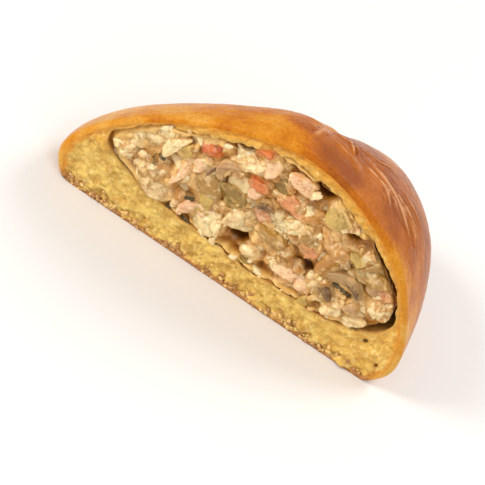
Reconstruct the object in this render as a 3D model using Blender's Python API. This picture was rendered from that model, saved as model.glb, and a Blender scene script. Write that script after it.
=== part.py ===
"""Half of a baked triangular piroshki: a plump egg-glazed bun, cut down its middle so that the filling shows.

Metres, +Z up. The half rests on its flat base. The cut faces -Y, the cut's length runs along X, and the
origin is the middle of the half's box, on the base. The bun has an upright axis, BUN_AXIS, in the cut:
plan distances are measured from it, at an angle that is 0 towards +X and half a turn at the left tip.
"""

import math
import random

import bmesh
import bpy
import numpy as np
from mathutils import Matrix, Vector, noise

MM = 0.001

# The bun, measured from its axis: how far it reaches at the four plan angles that set its outline
LEFT_TIP = 49.5 * MM  # half a turn: the blunt corner that the cut goes through
RIGHT_SIDE = 46.2 * MM  # angle 0: the full side opposite that corner
BACK_CORNER = 55.3 * MM  # 60 degrees: the corner left whole, behind the cut
BACK_SIDE = 42.7 * MM  # 120 degrees: the side between the two corners
HEIGHT = 46.8 * MM
GIRTH_HEIGHT = 7.5 * MM  # where the bun is widest; below it the dough tucks in to the base
TUCK = 6.5 * MM  # how far the base's edge lies inside the widest outline
BUN_AXIS = Vector((1.65, -25.05, 0.0)) * MM  # puts the half's box on the origin

# The roof is (1 - share ** power) ** bend of its height, with a share from 0 in the middle to 1 outside
RIGHT_POWER, RIGHT_BEND = 1.98, 0.59
BACK_POWER, BACK_BEND = 2.77, 1.19
BACK_CORNER_POWER, BACK_CORNER_BEND = 1.31, 0.39
TIP_POWER, TIP_BEND = 1.57, 0.63
TO_BACK = math.radians(35), math.radians(85)  # where the section turns from the right side's to the back side's
TO_TIP = math.radians(100), math.radians(140)  # and from the back corner's to the tip's

# The hollow that the filling lies in
FILL_LEVEL = 18.5 * MM  # the height at which the filling is widest
FILL_TOP = 42.6 * MM
FILL_BOTTOM = 8.4 * MM
FLOOR_SLOPE = 1.6 * MM  # the floor is this much higher at the tip, and lower at the full side
FLOOR_POWER = 2.6
FILL_TAPER = 0.84  # the filling's roof falls away sooner than the crust's, by this factor of the power
WALL_TIP = 7.8 * MM  # dough outside the filling at that height, at the left tip
WALL_RIGHT = 6.9 * MM
WALL_BACK = 8.0 * MM
FILL_LUMPS = 0.7 * MM  # how far the hollow's wall wanders

# Relief of the crust
LUMP_SIZE, LUMP_RISE = 21 * MM, 0.4 * MM
HUB = Vector((-1.5, 31.0)) * MM  # from the axis: where the three flaps of dough were pinched shut
HUB_GROOVE, HUB_WIDTH, HUB_DEPTH = 7.0 * MM, 2.6 * MM, 1.5 * MM
HUB_TONGUE, HUB_TONGUE_RISE = 4.2 * MM, 0.6 * MM
NOTCH_START, NOTCH_END = np.array([0.4, 17.5]) * MM, np.array([1.6, 27.0]) * MM  # a crack that runs into it
NOTCH_WIDTH, NOTCH_DEPTH = 2.0 * MM, 1.2 * MM
RIM_ROUND = 0.9 * MM  # the knife rounds the dough's outer edge by this much

# Filling
FILL_GAP = 0.45 * MM  # between the filling and the dough
SHRUNK_GAP = 1.7 * MM  # where the filling has shrunk away from the dough
SHRUNK_AT = (-4.0, 30.0, 72.0, 118.0)  # degrees round the cut where that shows
SHRUNK_SPREAD = 13.0
CORE_EXTRA_GAP = 0.9 * MM  # the diced pieces come this much nearer to the dough than the core does
MOST_MARGIN = 0.6 * MM  # some of them by up to this much less
CORE_SET_BACK = 2.4 * MM  # the bare core's face lies this far behind the cut
PIECE_SPACING = 5.4 * MM
ROW_STEP = 0.86 * PIECE_SPACING  # between the staggered rows of small pieces
PIECE_JITTER = 0.28 * PIECE_SPACING
PIECE_SIZE = (1.9 * MM, 2.8 * MM)  # half-widths of the small diced pieces
PLACED_SHARE = 0.92  # small pieces are centred within this share of the way out to the dough
CROWDING = 0.55  # a small piece may reach into a large one, up to this share of its own half-width
SQUARENESS = 0.42  # from a ball, 0, to a block, 1
WORN_SCALE, WORN_SPREAD = 0.86, 0.16  # how much of its block a piece keeps, and how unevenly
BEDDED = 0.62  # the middle of a piece lies this share of its depth behind its front
PIECE_TILT = 0.5
PIECE_SEED = 11

# The larger pieces that stand out in the cut: X from the axis, height, half-length, half-width (mm), turn
LARGE_PIECES = (
    (-33.5, 23.5, 4.9, 4.6, 80),
    (-34.0, 16.4, 3.6, 2.6, 0),
    (-26.3, 26.2, 4.0, 2.0, 70),
    (-26.0, 14.2, 4.9, 3.9, 15),
    (-22.3, 21.3, 4.6, 2.0, 80),
    (-18.7, 32.2, 3.4, 3.0, 30),
    (-16.2, 21.6, 5.2, 4.6, 0),
    (-13.8, 30.0, 4.2, 1.9, 75),
    (-11.3, 13.0, 4.6, 3.4, 15),
    (-10.6, 35.0, 3.4, 2.6, 70),
    (-8.8, 23.4, 3.4, 3.3, 0),
    (-5.0, 18.9, 3.3, 2.8, 20),
    (-1.0, 34.6, 3.4, 2.6, 0),
    (3.1, 31.0, 5.2, 2.5, -8),
    (3.6, 18.6, 4.4, 3.9, 0),
    (5.0, 25.2, 3.4, 2.6, 20),
    (11.0, 12.6, 4.4, 3.9, 0),
    (13.4, 23.0, 3.4, 2.8, 60),
    (13.4, 36.2, 3.5, 2.6, -35),
    (16.8, 28.6, 4.0, 2.8, -30),
    (18.0, 12.6, 3.0, 3.2, 0),
    (24.6, 15.6, 4.6, 2.6, -5),
    (25.6, 21.4, 5.0, 2.0, -8),
    (27.8, 27.4, 3.9, 3.1, -35),
    (30.4, 11.6, 3.0, 2.6, 0),
    (33.0, 19.4, 3.9, 3.5, 60),
)

# Fineness of the meshes
ROUND_SEGMENTS = 104
OUTER_ROWS, CUT_ROWS, HOLLOW_ROWS = 26, 2, 10
CORE_SEGMENTS, CORE_RINGS = 56, 22
CAST_STEPS = 40


def smooth(low, high, value):
    """0 below low, 1 above high, and a smooth rise between them."""
    share = np.clip((value - low) / (high - low), 0.0, 1.0)
    return share * share * (3.0 - 2.0 * share)


def plan_radius(angle):
    """How far the bun reaches in plan: the cosine series through its four named distances."""
    known = np.array([0.0, math.pi / 3, 2 * math.pi / 3, math.pi])
    orders = np.arange(4)
    waves = np.cos(np.outer(known, orders))
    weights = np.linalg.solve(waves, [RIGHT_SIDE, BACK_CORNER, BACK_SIDE, LEFT_TIP])
    return np.cos(np.multiply.outer(angle, orders)) @ weights


def dome(share, angle, taper=1.0):
    """Height of a roof from 1 in the middle to 0 at the outline, for a share of the way out."""
    behind = smooth(*TO_BACK, np.abs(angle))
    side_power = RIGHT_POWER + (BACK_POWER - RIGHT_POWER) * behind
    side_bend = RIGHT_BEND + (BACK_BEND - RIGHT_BEND) * behind
    at_tip = smooth(*TO_TIP, np.abs(angle))
    corner_power = BACK_CORNER_POWER + (TIP_POWER - BACK_CORNER_POWER) * at_tip
    corner_bend = BACK_CORNER_BEND + (TIP_BEND - BACK_CORNER_BEND) * at_tip
    corner = 0.5 - 0.5 * np.cos(3.0 * angle)
    power = side_power + (corner_power - side_power) * corner
    bend = side_bend + (corner_bend - side_bend) * corner
    return (1.0 - np.clip(share, 0.0, 1.0) ** (power * taper)) ** bend


def polar(points):
    return np.hypot(points[:, 0], points[:, 1]), np.arctan2(points[:, 1], points[:, 0])


def in_bun(points):
    """True for the points inside the smooth bun, measured from its axis."""
    distance, angle = polar(points)
    height = points[:, 2]
    reach = plan_radius(angle)
    roof = GIRTH_HEIGHT + (HEIGHT - GIRTH_HEIGHT) * dome(distance / reach, angle)
    down = np.clip(1.0 - height / GIRTH_HEIGHT, 0.0, 1.0)
    tucked = reach - TUCK * (1.0 - np.sqrt(1.0 - down * down))
    return (height >= 0.0) & (distance <= tucked) & (height <= roof)


def in_hollow(points):
    """True for the points inside the smooth hollow, measured from the bun's axis."""
    distance, angle = polar(points)
    towards_tip = smooth(2.2, 2.9, np.abs(angle))
    towards_right = 1.0 - smooth(0.2, 0.9, np.abs(angle))
    wall = WALL_BACK + (WALL_TIP - WALL_BACK) * towards_tip + (WALL_RIGHT - WALL_BACK) * towards_right
    share = np.clip(distance / (plan_radius(angle) - wall), 0.0, 1.0)
    roof = FILL_LEVEL + (FILL_TOP - FILL_LEVEL) * dome(share, angle, FILL_TAPER)
    bottom = FILL_BOTTOM - FLOOR_SLOPE * share * np.cos(angle)
    floor = FILL_LEVEL - (FILL_LEVEL - bottom) * (1.0 - share**FLOOR_POWER) ** (1.0 / FLOOR_POWER)
    return (share < 1.0) & (points[:, 2] <= roof) & (points[:, 2] >= floor)


def cast(inside, directions):
    """Distance from the filling's middle to a surface, along each direction, by halving the step."""
    middle = np.array([0.0, 0.0, FILL_LEVEL])
    near = np.zeros(len(directions))
    far = np.full(len(directions), 0.09)
    for _ in range(CAST_STEPS):
        half = (near + far) / 2
        within = inside(middle + directions * half[:, None])
        near = np.where(within, half, near)
        far = np.where(within, far, half)
    return near


def wander(points, size, seed):
    """Smooth noise from about -1 to 1, with features of the given size."""
    shift = Vector((seed * 17.3, seed * 5.1, seed * 9.7))
    return np.array([noise.noise(Vector(p) / size + shift) for p in points]) * 1.6


def notch_relief(points):
    """Depth of the crack: a groove along a line in plan."""
    line = NOTCH_END - NOTCH_START
    share = np.clip((points[:, :2] - NOTCH_START) @ line / (line @ line), 0.0, 1.0)
    nearest = NOTCH_START + share[:, None] * line
    away = np.linalg.norm(points[:, :2] - nearest, axis=1)
    return NOTCH_DEPTH * np.exp(-((away / NOTCH_WIDTH) ** 2))


def crust_relief(points):
    """How far the crust stands out or sinks at points on the smooth bun."""
    from_hub = points[:, :2] - np.array(HUB)
    distance = np.hypot(from_hub[:, 0], from_hub[:, 1])
    bearing = np.arctan2(from_hub[:, 1], from_hub[:, 0])
    on_roof = smooth(12 * MM, 24 * MM, points[:, 2])
    lumps = LUMP_RISE * wander(points, LUMP_SIZE, 1)
    # A curled groove round a low tongue of dough, open on the side that faces the tip
    opening = 0.35 + 0.65 * smooth(-0.75, 0.2, np.cos(bearing - math.pi * 0.08))
    groove = HUB_DEPTH * opening * np.exp(-(((distance - HUB_GROOVE) / HUB_WIDTH) ** 2))
    tongue = HUB_TONGUE_RISE * np.exp(-((distance / HUB_TONGUE) ** 2))
    standing = smooth(1.0 * MM, 9.0 * MM, points[:, 2])
    return standing * lumps + on_roof * (tongue - groove - notch_relief(points))


def ring_directions(round_angle, back_angle):
    """Unit vectors at an angle round the cut from +X, tilted from straight back to the plane of the cut."""
    flat = np.sin(back_angle)
    return np.stack([np.cos(round_angle) * flat, np.cos(back_angle), np.sin(round_angle) * flat], axis=1)


def bun_surface(round_angle, back_angle):
    """Points of the crust, from the straight-back pole to the cut's outer edge."""
    directions = ring_directions(round_angle, back_angle)
    middle = np.array([0.0, 0.0, FILL_LEVEL])
    smooth_reach = cast(in_bun, directions)
    points = middle + directions * smooth_reach[:, None]
    reach = smooth_reach + crust_relief(points)
    # The rim is rounded just behind the cut, and the base stays flat
    depth = directions[:, 1] * reach
    near_cut = 1.0 - np.clip(depth / RIM_ROUND, 0.0, 1.0)
    rounding = RIM_ROUND * (1.0 - np.sqrt(1.0 - near_cut * near_cut))
    above_base = smooth(0.2 * MM, 3.0 * MM, points[:, 2])
    reach -= rounding * above_base
    points = middle + directions * reach[:, None]
    points[:, 2] = np.maximum(points[:, 2], 0.0)
    return points


def hollow_surface(round_angle, back_angle, gap=0.0):
    """Points of the hollow's wall, or of a filling that stays clear of it by a gap."""
    directions = ring_directions(round_angle, back_angle)
    middle = np.array([0.0, 0.0, FILL_LEVEL])
    reach = cast(in_hollow, directions)
    lumps = FILL_LUMPS * (wander(middle + directions * reach[:, None], 9 * MM, 3) - 0.3)
    return middle + directions * (reach + lumps - gap)[:, None]


def filling_gap(round_angle, back_angle):
    """The filling's gap to the dough, wider just behind the cut where it has shrunk away."""
    shown = smooth(0.6, 1.35, np.minimum(back_angle, math.pi - back_angle))
    degrees = np.degrees(round_angle)
    widest = np.zeros(len(degrees))
    for place in SHRUNK_AT:
        off = (degrees - place + 180.0) % 360.0 - 180.0
        widest = np.maximum(widest, np.exp(-((off / SHRUNK_SPREAD) ** 2)))
    return FILL_GAP + (SHRUNK_GAP - FILL_GAP) * widest * shown


def sphere_angles(mesh):
    """Each vertex of a UV sphere as an angle round its own axis and an angle down from its top pole."""
    unit = np.array([v.co.normalized() for v in mesh.vertices])
    return np.arctan2(unit[:, 1], unit[:, 0]), np.arccos(np.clip(unit[:, 2], -1.0, 1.0))


def set_points(mesh, points):
    """Moves the vertices to points measured from the bun's axis, and turns the faces outwards."""
    for vertex, point in zip(mesh.vertices, points):
        vertex.co = Vector(point) + BUN_AXIS
    shell = bmesh.new()
    shell.from_mesh(mesh)
    bmesh.ops.recalc_face_normals(shell, faces=shell.faces)
    shell.to_mesh(mesh)
    shell.free()


def material(name, colour, roughness):
    made = bpy.data.materials.new(name)
    made.use_nodes = True
    shader = made.node_tree.nodes["Principled BSDF"]
    shader.inputs["Base Color"].default_value = (*colour, 1.0)
    shader.inputs["Roughness"].default_value = roughness
    shader.inputs["Metallic"].default_value = 0.0
    return made


def uv_sphere(name, segments, rings):
    bpy.ops.mesh.primitive_uv_sphere_add(segments=segments, ring_count=rings, radius=1.0)
    made = bpy.context.object
    made.name = name
    return made


def make_dough(collection):
    """The dough as one sphere folded in on itself: crust, then the cut's face, then the hollow's wall."""
    rings = OUTER_ROWS + CUT_ROWS + HOLLOW_ROWS
    dough = uv_sphere("dough", ROUND_SEGMENTS, rings)
    round_angle, down = sphere_angles(dough.data)
    row = down / math.pi * rings
    # Crust rows crowd towards the cut, so that its rounded edge has faces
    outer = np.clip(row / OUTER_ROWS, 0.0, 1.0)
    outer_angle = math.pi / 2 * (1.0 - (1.0 - outer) ** 1.35)
    crust = bun_surface(round_angle, outer_angle)
    inner = np.clip((row - OUTER_ROWS - CUT_ROWS) / HOLLOW_ROWS, 0.0, 1.0)
    wall = hollow_surface(round_angle, math.pi / 2 * (1.0 - inner))
    across = np.clip((row - OUTER_ROWS) / CUT_ROWS, 0.0, 1.0)[:, None]
    points = crust * (1.0 - across) + wall * across
    points[(row > OUTER_ROWS - 0.5) & (row < OUTER_ROWS + CUT_ROWS + 0.5), 1] = 0.0
    set_points(dough.data, points)
    dough.data.materials.append(material("baked_dough", (0.62, 0.27, 0.05), 0.38))
    shade(dough)
    move_to(dough, collection)


def make_core():
    """The bare filling: the hollow's form less the gap, with a face a little behind the cut."""
    core = uv_sphere("filling", CORE_SEGMENTS, CORE_RINGS)
    round_angle, down = sphere_angles(core.data)
    back_angle = np.minimum(down, math.pi / 2)
    gap = CORE_EXTRA_GAP + filling_gap(round_angle, back_angle)
    points = hollow_surface(round_angle, back_angle, gap)
    front = np.clip((down - math.pi / 2) / (math.pi / 2), 0.0, 1.0)
    middle = np.array([0.0, 0.0, FILL_LEVEL])
    points = middle + (points - middle) * (1.0 - front)[:, None]
    uneven = 1.0 + 0.45 * wander(points, 7 * MM, 4)
    points[:, 1] = np.maximum(points[:, 1], CORE_SET_BACK * uneven)
    set_points(core.data, points)
    return core


def keep_clear(points, margin):
    """Pulls points that would reach the dough back towards the filling's middle, as if pressed by the dough."""
    middle = np.array([0.0, 0.0, FILL_LEVEL])
    reach = np.linalg.norm(points - middle, axis=1)
    directions = (points - middle) / reach[:, None]
    back_angle = np.arccos(np.clip(directions[:, 1], -1.0, 1.0))
    round_angle = np.arctan2(directions[:, 2], directions[:, 0])
    allowed = hollow_surface(round_angle, back_angle, margin + filling_gap(round_angle, back_angle)) - middle
    most = np.linalg.norm(allowed, axis=1)
    return middle + directions * np.minimum(reach, most)[:, None]


def clear_of_large(along, height, margin):
    """True for a place that lies outside every large piece by a margin."""
    for x, z, half_length, half_width, _ in LARGE_PIECES:
        sideways = (along - x * MM) / (half_length * MM + margin)
        upwards = (height - z * MM) / (half_width * MM + margin)
        if math.hypot(sideways, upwards) <= 1.0:
            return False
    return True


def small_piece_places(draw):
    """Places for the small pieces: a jittered staggered grid over the cut, clear of the large pieces."""
    places = []
    rows = int((FILL_TOP - FILL_BOTTOM) / ROW_STEP) + 1
    columns = int((LEFT_TIP + RIGHT_SIDE) / PIECE_SPACING) + 1
    for row in range(rows):
        for column in range(columns):
            along = (column + 0.5 * (row % 2)) * PIECE_SPACING - LEFT_TIP
            height = FILL_BOTTOM + row * ROW_STEP
            along += draw.uniform(-PIECE_JITTER, PIECE_JITTER)
            height += draw.uniform(-PIECE_JITTER, PIECE_JITTER)
            half = draw.uniform(*PIECE_SIZE)
            turn = draw.uniform(0, math.pi)
            further = FILL_LEVEL + (height - FILL_LEVEL) / PLACED_SHARE
            inside = in_hollow(np.array([[along / PLACED_SHARE, 0.0, further]]))[0]
            if inside and clear_of_large(along, height, CROWDING * half):
                places.append((along, height, half, half * draw.uniform(0.7, 1.0), turn))
    return places


def piece(name, along, height, half_length, half_width, turn, depth, draw):
    """One diced piece: a ball pushed out towards a block, with its corners worn and its faces uneven."""
    bpy.ops.mesh.primitive_ico_sphere_add(subdivisions=2, radius=1.0)
    made = bpy.context.object
    made.name = name
    tilt = Matrix.Rotation(-turn, 4, "Y") @ Matrix.Rotation(draw.uniform(-PIECE_TILT, PIECE_TILT), 4, "X")
    seed = Vector([draw.uniform(0, 50) for _ in range(3)])
    half_depth = 0.5 * (half_length + half_width)
    for vertex in made.data.vertices:
        unit = vertex.co.normalized()
        block = unit / max(abs(unit.x), abs(unit.y), abs(unit.z))
        worn = unit.lerp(block, SQUARENESS) * (WORN_SCALE + WORN_SPREAD * noise.noise(unit * 1.4 + seed))
        vertex.co = Vector((worn.x * half_length, worn.y * half_depth, worn.z * half_width))
    made.data.transform(tilt)
    made.data.transform(Matrix.Translation((along, depth + BEDDED * half_depth, height)))
    points = np.array([vertex.co for vertex in made.data.vertices])
    set_points(made.data, keep_clear(points, draw.uniform(0.0, MOST_MARGIN)))
    return made


def make_pieces(collection):
    """All diced pieces that show in the cut, each bedded in the core and standing out by its own amount."""
    draw = random.Random(PIECE_SEED)
    made = []
    for x, z, a, b, turn in LARGE_PIECES:
        depth = draw.uniform(-0.4, 0.7) * MM
        made.append(piece("piece", x * MM, z * MM, a * MM, b * MM, math.radians(turn), depth, draw))
    for along, height, half_length, half_width, turn in small_piece_places(draw):
        depth = draw.uniform(0.0, 1.6) * MM
        made.append(piece("piece", along, height, half_length, half_width, turn, depth, draw))
    for one in made:
        move_to(one, collection)
    return made


def fuse(target, collection):
    modifier = target.modifiers.new("fuse", "BOOLEAN")
    modifier.operation = "UNION"
    modifier.solver = "MANIFOLD"
    modifier.operand_type = "COLLECTION"
    modifier.collection = collection
    bpy.context.view_layer.objects.active = target
    bpy.ops.object.modifier_apply(modifier=modifier.name)


def make_filling(collection):
    """The creamy diced filling as one heap: the core with the pieces fused on, clear of the dough."""
    core = make_core()
    pieces = bpy.data.collections.new("filling_pieces")
    bpy.context.scene.collection.children.link(pieces)
    fused = make_pieces(pieces)
    fuse(core, pieces)
    for one in fused:
        bpy.data.objects.remove(one)
    bpy.data.collections.remove(pieces)
    core.data.materials.clear()
    core.data.materials.append(material("creamy_filling", (0.66, 0.56, 0.36), 0.4))
    shade(core)
    move_to(core, collection)


def shade(made):
    made.data.shade_smooth()
    made.data.set_sharp_from_angle(angle=math.radians(50))


def move_to(made, collection):
    for held in list(made.users_collection):
        held.objects.unlink(made)
    collection.objects.link(made)


def main():
    for old in list(bpy.data.objects):
        bpy.data.objects.remove(old)
    collection = bpy.data.collections.new("piroshki_half")
    bpy.context.scene.collection.children.link(collection)
    make_dough(collection)
    make_filling(collection)


main()
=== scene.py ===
"""The looks of half a baked triangular piroshki, cut down its middle so that the filling shows.

Metres, +Z up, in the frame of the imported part. The shape functions are measured from the bun's upright axis,
which stands in the cut, and the cut faces -Y. The dough and the filling are replaced by finer meshes of the
same forms: glazed crust, open crumb on the cut, and a creamy filling with its pieces in kinds.
"""

import math
import random

import bpy
import numpy as np
from mathutils import Matrix, Vector, kdtree, noise


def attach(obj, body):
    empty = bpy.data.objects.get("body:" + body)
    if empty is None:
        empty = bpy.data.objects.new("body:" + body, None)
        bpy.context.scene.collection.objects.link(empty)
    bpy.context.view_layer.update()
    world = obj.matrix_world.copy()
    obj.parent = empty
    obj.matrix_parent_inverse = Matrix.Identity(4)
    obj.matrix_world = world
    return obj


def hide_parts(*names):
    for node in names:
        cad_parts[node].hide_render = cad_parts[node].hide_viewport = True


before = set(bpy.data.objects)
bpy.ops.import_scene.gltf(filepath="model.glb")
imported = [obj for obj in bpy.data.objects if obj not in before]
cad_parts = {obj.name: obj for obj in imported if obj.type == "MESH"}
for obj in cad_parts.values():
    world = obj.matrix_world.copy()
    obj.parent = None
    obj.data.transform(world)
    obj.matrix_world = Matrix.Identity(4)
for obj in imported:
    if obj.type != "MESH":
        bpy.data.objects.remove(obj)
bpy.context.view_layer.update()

MM = 0.001

# The bun, measured from its axis: how far it reaches at plan angles 0, 60, 120 and 180 degrees
RIGHT_SIDE, BACK_CORNER, BACK_SIDE, LEFT_TIP = 46.2 * MM, 55.3 * MM, 42.7 * MM, 49.5 * MM
HEIGHT = 46.8 * MM
GIRTH_HEIGHT = 7.5 * MM
TUCK = 6.5 * MM
BUN_AXIS = np.array([1.65, -25.05, 0.0]) * MM
# The section towards each side and corner: its power and its bend
RIGHT_SECTION, BACK_SECTION = (1.98, 0.59), (2.77, 1.19)
CORNER_SECTION, TIP_SECTION = (1.31, 0.39), (1.57, 0.63)
# Plan angles between which the section turns from right to back, and from back corner to tip
TO_BACK = math.radians(35), math.radians(85)
TO_TIP = math.radians(100), math.radians(140)

# The hollow that the filling lies in
FILL_LEVEL = 18.5 * MM
FILL_TOP = 42.6 * MM
FILL_BOTTOM = 8.4 * MM
FLOOR_SLOPE = 1.6 * MM
FLOOR_POWER = 2.6
FILL_TAPER = 0.84
WALL_TIP, WALL_RIGHT, WALL_BACK = 7.8 * MM, 6.9 * MM, 8.0 * MM
NEAR_TIP, NEAR_RIGHT = (2.2, 2.9), (0.2, 0.9)  # plan angles between the back's wall and theirs
# Here and below, what is rough is so by a depth and a size, with a seed and, if more than one, its octaves
FILL_LUMPS, FINE_LUMPS = (0.7 * MM, 9 * MM, 3), (0.32 * MM, 2.6 * MM, 8)
FILL_SMALLER = 0.21 * MM
FILL_GAP = -0.35 * MM  # the cream clings to the crumb
# Where the filling shrank from the dough: place and spread in degrees round the cut, and the gap in mm
SHRUNK_AT = ((-2.0, 9.0, 1.7), (22.0, 13.0, 1.9), (70.0, 6.0, 1.5), (124.0, 7.0, 1.5))
SHRUNK_SHOWS = 0.6, 1.35  # angles from the bun's back over which the gap opens towards the cut

# Relief of the crust
LUMPS = 0.4 * MM, 21 * MM, 1
HUB = np.array([-1.5, 31.0]) * MM
HUB_GROOVE, HUB_WIDTH, HUB_DEPTH = 7.0 * MM, 2.6 * MM, 0.95 * MM
HUB_SHALLOWEST = 0.35  # share of its depth that the groove keeps on the side away from HUB_DEEPEST
HUB_DEEPEST, HUB_DEEPENS = 0.08 * math.pi, (-0.75, 0.2)
ON_ROOF, ABOVE_BASE = (12 * MM, 24 * MM), (1 * MM, 9 * MM)  # heights over which relief sets in
SHOULDER = np.array([22.0, 19.0]) * MM  # where the wrinkles are, a little browner
SETTLED = np.array([9.0, 32.0]) * MM  # the roof sank a little here
SETTLED_REACH, SETTLED_DEPTH = 10.0 * MM, 0.8 * MM
RIM_ROUND, ROUNDED_FROM = 1.5 * MM, (0.2 * MM, 3.0 * MM)  # the crust's edge at the cut, above the base
NOTCH_START, NOTCH_END = np.array([0.4, 17.5]) * MM, np.array([1.6, 27.0]) * MM
NOTCH_WIDTH, NOTCH_DEPTH = 2.0 * MM, 0.7 * MM
WRINKLE_DEPTH = 0.58 * MM
WRINKLED = 25 * MM, 29 * MM  # heights over which the wrinkles set in
WRINKLE_BENDS, BEND_SEEDS, WRINKLE_VARIES = (0.30 * MM, 5 * MM), (3, 4), (0.35, 4 * MM, 2)
WRINKLE_ENDS, WRINKLE_SWELLS = 0.7, 0.4  # shares of its width: at its ends, and what halfway has more
# Beside each wrinkle: height, place and width of a hollow and of two ripples, in its own measures
BESIDE, RIPPLES = (-0.35, 2.0, 0.7), ((0.45, 3.7, 0.8), (-0.20, 5.3, 0.8))
FADES_IN, FADES_OUT = (0.0, 0.30), (0.45, 1.0)  # shares of its length
# Fainter creases all over the roof but the hub, longer than they are wide, and the skin between them
FAINT, FAINT_WIDTH, FAINT_FROM = 0.1575, 0.35, (5 * MM, 9 * MM)
FAINT_LENGTH, FAINT_TURN, FAINT_HEIGHT, FAINT_SEED = 7 * MM, 6.0, 9 * MM, 5
SKIN = 0.035, 2.6 * MM, 6, 3
# Wrinkles that run from the notch over the right shoulder: how high each stands (a groove has less than 0),
# its half-width, how much finer ripples run beside it, then its course in plan, all in mm
WRINKLES = (
    (1.25, 0.46, 1.0, ((8.5, 18.5), (13, 17.5), (19, 16.5), (23, 15.5), (25.5, 13.5), (30, 11), (35, 5))),
    (1.0, 0.42, 1.0, ((20, 18.5), (25, 17), (30, 16.5), (36, 13.5))),
    (1.0, 0.42, 0.6, ((22.5, 23.5), (27, 21.5), (35, 21))),
    (0.9, 0.40, 1.0, ((9, 15), (14, 13.5), (19, 13.5), (22, 10.5), (26, 4.5))),
    (0.5, 0.40, 0.6, ((11, 9), (15, 10.5), (20, 10.5), (22.5, 7.5))),
    (0.8, 0.45, 0.6, ((7.5, 19.5), (15, 23.5), (22, 30))),
    (0.45, 0.75, 0.0, ((1.5, 14), (6, 12), (10.5, 10.5), (12, 5.5), (12.5, 2))),
    (0.7, 0.45, 0.6, ((1, 17.5), (7.5, 18.5), (14, 19.5))),
    (0.7, 0.38, 0.0, ((6, 19.5), (8, 15.5), (9.5, 12))),
    (0.7, 0.40, 0.0, ((26, 16), (31.5, 14), (35, 9))),
    (0.7, 0.62, 0.0, ((-2.5, 4.5), (-0.5, 12), (1.5, 23))),
    (-0.9, 0.50, 0.0, ((10, 16), (17.5, 15), (22, 13), (26, 6.5))),
    (-0.8, 0.45, 0.0, ((8, 19), (15, 20), (24, 22))),
    (-0.8, 0.40, 0.0, ((21, 19), (26, 18.5), (32, 18))),
    (-0.8, 0.40, 0.0, ((7, 19.5), (9, 16), (10, 12.5))),
    (-0.45, 0.45, 0.0, ((-6, 16.5), (-2.5, 17), (1, 18))),
)
STREAK_START, STREAK_END = np.array([-6.0, 10.0]) * MM, np.array([10.0, 3.0]) * MM  # browner

# Fineness of the meshes
ROUND_SEGMENTS = 530
OUTER_ROWS, CUT_ROWS, HOLLOW_ROWS = 130, 42, 15
CORE_SEGMENTS, CORE_RINGS = 420, 200
CAST_STEPS = 32
CAST_REACH = 90 * MM

# Noise: what brings it to about -1 to 1, how far apart two seeds take theirs, and the seeds of finer octaves
NOISE_GAIN, SEED_STEPS, OCTAVE_SEEDS = 1.6, (17.3, 5.1, 9.7), 31

MIDDLE = np.array([0.0, 0.0, FILL_LEVEL])


def smooth(low, high, value):
    """From 0 at low to 1 at high, with soft ends."""
    share = np.clip((value - low) / (high - low), 0.0, 1.0)
    return share * share * (3.0 - 2.0 * share)


def blend(first, second, share):
    return first + (second - first) * share


def bell(value, width=1.0, power=2):
    """1 where the value is 0, and next to nothing past two widths."""
    return np.exp(-(np.abs(value / width) ** power))


def plan_radius(angle):
    """How far the bun reaches in plan: a smooth curve through its four known reaches."""
    orders = np.arange(4)
    waves = np.cos(np.outer(orders * math.pi / 3, orders))
    weights = np.linalg.solve(waves, [RIGHT_SIDE, BACK_CORNER, BACK_SIDE, LEFT_TIP])
    return np.cos(np.multiply.outer(angle, orders)) @ weights


def dome(share, angle, taper=1.0):
    """Share of the roof's height, from the axis out to the outline: (1 - share ** power) ** bend."""
    behind, at_tip = smooth(*TO_BACK, np.abs(angle)), smooth(*TO_TIP, np.abs(angle))
    at_corner = 0.5 - 0.5 * np.cos(3.0 * angle)
    sides = [blend(right, back, behind) for right, back in zip(RIGHT_SECTION, BACK_SECTION)]
    corners = [blend(corner, tip, at_tip) for corner, tip in zip(CORNER_SECTION, TIP_SECTION)]
    power, bend = [blend(side, corner, at_corner) for side, corner in zip(sides, corners)]
    return (1.0 - np.clip(share, 0.0, 1.0) ** (power * taper)) ** bend


def roof_height(distance, angle):
    return blend(GIRTH_HEIGHT, HEIGHT, dome(distance / plan_radius(angle), angle))


def polar(points):
    return np.hypot(points[:, 0], points[:, 1]), np.arctan2(points[:, 1], points[:, 0])


def in_bun(points):
    distance, angle = polar(points)
    height = points[:, 2]
    down = np.clip(1.0 - height / GIRTH_HEIGHT, 0.0, 1.0)
    tucked = plan_radius(angle) - TUCK * (1.0 - np.sqrt(1.0 - down * down))
    return (height >= 0.0) & (distance <= tucked) & (height <= roof_height(distance, angle))


def in_hollow(points):
    distance, angle = polar(points)
    towards_tip = smooth(*NEAR_TIP, np.abs(angle))
    towards_right = 1.0 - smooth(*NEAR_RIGHT, np.abs(angle))
    wall = WALL_BACK + (WALL_TIP - WALL_BACK) * towards_tip + (WALL_RIGHT - WALL_BACK) * towards_right
    share = np.clip(distance / (plan_radius(angle) - wall), 0.0, 1.0)
    roof = blend(FILL_LEVEL, FILL_TOP, dome(share, angle, FILL_TAPER))
    bottom = FILL_BOTTOM - FLOOR_SLOPE * share * np.cos(angle)
    floor = blend(FILL_LEVEL, bottom, (1.0 - share**FLOOR_POWER) ** (1.0 / FLOOR_POWER))
    return (share < 1.0) & (points[:, 2] <= roof) & (points[:, 2] >= floor)


def cast(inside, directions):
    """How far each direction goes from the middle of the cut before it leaves the form."""
    near = np.zeros(len(directions))
    far = np.full(len(directions), CAST_REACH)
    for _ in range(CAST_STEPS):
        half = (near + far) / 2
        within = inside(MIDDLE + directions * half[:, None])
        near = np.where(within, half, near)
        far = np.where(within, far, half)
    return near


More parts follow.
